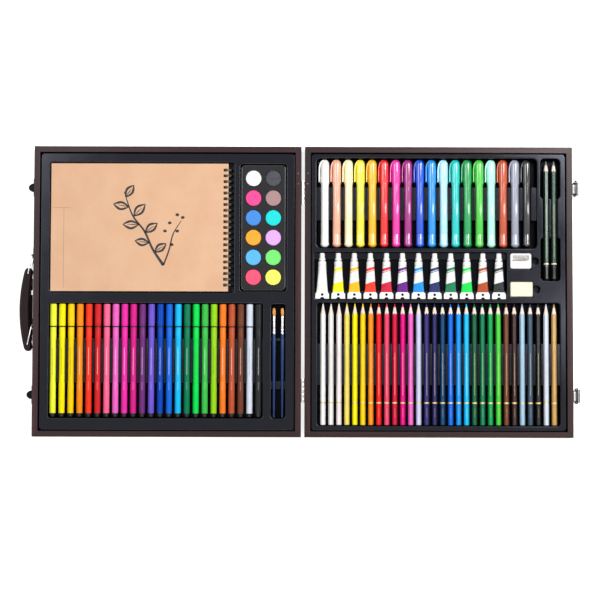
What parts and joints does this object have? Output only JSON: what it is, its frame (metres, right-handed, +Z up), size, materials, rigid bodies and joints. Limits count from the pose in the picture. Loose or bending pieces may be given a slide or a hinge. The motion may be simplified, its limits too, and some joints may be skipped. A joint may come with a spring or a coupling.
{
  "type": "art set box",
  "caption": "Wooden folding art case that opens flat, with trays of pens, pencils, crayons, paints, brushes and a sketchbook, a side handle and two latches.",
  "frame": {"origin": "centre of the base half's underside", "axes": "+X from the base half to the lid half, +Y from the front to the back, +Z up; the case lies open and flat"},
  "size_m": [0.8218, 0.426, 0.0378],
  "materials": {
    "boards": "dark reddish-brown woodgrain wrap, satin",
    "panels": "dark reddish-brown fibreboard, satin",
    "trays": "glossy black sheet",
    "hardware": "polished",
    "hinges": "plated",
    "brackets": "dark plated",
    "grip": "dark brown leatherette",
    "cover": "kraft card",
    "sheets": "uncoated",
    "back_board": "grey board",
    "binding": "antique plated wire",
    "palette": "black",
    "paints": "pressed watercolour cakes in twelve colours",
    "pens": "one colour for each pen",
    "plugs": "black",
    "brush_wood": "dark blue lacquer",
    "ferrules": "polished",
    "bristles": "golden synthetic hair",
    "crayons": "one colour for each crayon",
    "tubes": "white enamel with a colour band",
    "tube_caps": "white",
    "sharpener": "white",
    "blade": "ground",
    "eraser": "cream",
    "pencils": "lacquered in one colour for each pencil",
    "drawing_pencils": "dark green lacquer"
  },
  "bodies": {
    "base": {"base_front_board": "boards", "base_back_board": "boards", "base_handle_board": "boards", "base_hinge_board": "boards", "base_panel": "panels", "base_tray": "trays", "hinge_leaves_base": "hinges", "hinge_pins": "hinges", "handle_bracket_front": "brackets", "handle_bracket_back": "brackets", "catch_plates": "hardware"},
    "lid": {"lid_front_board": "boards", "lid_back_board": "boards", "lid_hinge_board": "boards", "lid_latch_board": "boards", "lid_panel": "panels", "lid_tray": "trays", "hinge_leaves_lid": "hinges", "latch_plates": "hardware", "latch_pins": "hardware"},
    "latch_lever_front": {"latch_lever_front": "hardware"},
    "latch_lever_back": {"latch_lever_back": "hardware"},
    "latch_loop_front": {"latch_loop_front": "hardware"},
    "latch_loop_back": {"latch_loop_back": "hardware"},
    "handle_link_front": {"handle_link_front": "hardware"},
    "handle_link_back": {"handle_link_back": "hardware"},
    "handle_grip": {"handle_grip": "grip"},
    "sketchbook": {"sketchbook_sheets": "sheets", "sketchbook_back_board": "back_board", "sketchbook_wire": "binding"},
    "sketchbook_cover": {"sketchbook_cover": "cover"},
    "palette": {"palette": "palette", "paint_cakes": "paints"},
    "felt_pens": {"felt_pen_barrels": "pens", "felt_pen_caps": "pens", "felt_pen_plugs": "plugs"},
    "brushes": {"brush_handles": "brush_wood", "brush_ferrules": "ferrules", "brush_bristles": "bristles"},
    "crayons": {"crayon_barrels": "crayons", "crayon_caps": "crayons", "crayon_knobs": "crayons"},
    "paint_tubes": {"tube_bodies": "tubes", "tube_caps": "tube_caps"},
    "sharpener": {"sharpener_body": "sharpener", "sharpener_blade": "blade", "sharpener_screw": "blade"},
    "eraser": {"eraser": "eraser"},
    "coloured_pencils": {"coloured_pencils": "pencils"},
    "drawing_pencils": {"drawing_pencils": "drawing_pencils"}
  },
  "joints": [
    {"name": "lid_hinge", "type": "hinge", "parent": "base", "child": "lid", "pos_m": [0.19862, 0, 0.02825], "axis": [0, -1, 0], "range_deg": [0, 180]},
    {"name": "latch_lever_front_turn", "type": "hinge", "parent": "lid", "child": "latch_lever_front", "pos_m": [0.59836, -0.152, 0.02], "axis": [0, 1, 0], "range_deg": [-100, 0]},
    {"name": "latch_loop_front_turn", "type": "hinge", "parent": "latch_lever_front", "child": "latch_loop_front", "pos_m": [0.59776, -0.152, 0.0141], "axis": [0, 1, 0], "range_deg": [0, 100]},
    {"name": "latch_lever_back_turn", "type": "hinge", "parent": "lid", "child": "latch_lever_back", "pos_m": [0.59836, 0.152, 0.02], "axis": [0, 1, 0], "range_deg": [-100, 0]},
    {"name": "latch_loop_back_turn", "type": "hinge", "parent": "latch_lever_back", "child": "latch_loop_back", "pos_m": [0.59776, 0.152, 0.0141], "axis": [0, 1, 0], "range_deg": [0, 100]},
    {"name": "handle_link_back_turn", "type": "hinge", "parent": "base", "child": "handle_link_back", "pos_m": [-0.19862, 0.052, 0.014], "axis": [0, 0, -1], "range_deg": [0, 156]},
    {"name": "handle_link_front_turn", "type": "hinge", "parent": "base", "child": "handle_link_front", "pos_m": [-0.19862, -0.052, 0.014], "axis": [0, 0, -1], "range_deg": [0, 156]},
    {"name": "handle_grip_turn", "type": "hinge", "parent": "handle_link_back", "child": "handle_grip", "pos_m": [-0.20432, 0.0252, 0.014], "axis": [0, 0, -1], "range_deg": [-156, 0]},
    {"name": "cover_turn", "type": "hinge", "parent": "sketchbook", "child": "sketchbook_cover", "pos_m": [0.08878, 0.0939, 0.0195], "axis": [0, -1, 0], "range_deg": [-110, 0]},
    {"name": "sketchbook_lift", "type": "slide", "parent": "base", "child": "sketchbook", "axis": [0, 0, -1], "range_m": [-0.045, 0]},
    {"name": "palette_lift", "type": "slide", "parent": "base", "child": "palette", "axis": [0, 0, -1], "range_m": [-0.045, 0]},
    {"name": "felt_pens_lift", "type": "slide", "parent": "base", "child": "felt_pens", "axis": [0, 0, -1], "range_m": [-0.045, 0]},
    {"name": "brushes_lift", "type": "slide", "parent": "base", "child": "brushes", "axis": [0, 0, -1], "range_m": [-0.045, 0]},
    {"name": "crayons_lift", "type": "slide", "parent": "lid", "child": "crayons", "axis": [0, 0, -1], "range_m": [-0.045, 0]},
    {"name": "paint_tubes_lift", "type": "slide", "parent": "lid", "child": "paint_tubes", "axis": [0, 0, -1], "range_m": [-0.045, 0]},
    {"name": "sharpener_lift", "type": "slide", "parent": "lid", "child": "sharpener", "axis": [0, 0, -1], "range_m": [-0.045, 0]},
    {"name": "eraser_lift", "type": "slide", "parent": "lid", "child": "eraser", "axis": [0, 0, -1], "range_m": [-0.045, 0]},
    {"name": "drawing_pencils_lift", "type": "slide", "parent": "lid", "child": "drawing_pencils", "axis": [0, 0, -1], "range_m": [-0.045, 0]},
    {"name": "coloured_pencils_lift", "type": "slide", "parent": "lid", "child": "coloured_pencils", "axis": [0, 0, -1], "range_m": [-0.045, 0]}
  ],
  "couplings": [
    {"joint": "latch_loop_front_turn", "follows": "latch_lever_front_turn", "ratio": -1},
    {"joint": "latch_loop_back_turn", "follows": "latch_lever_back_turn", "ratio": -1},
    {"joint": "handle_link_front_turn", "follows": "handle_link_back_turn", "ratio": 1},
    {"joint": "handle_grip_turn", "follows": "handle_link_back_turn", "ratio": -1}
  ]
}
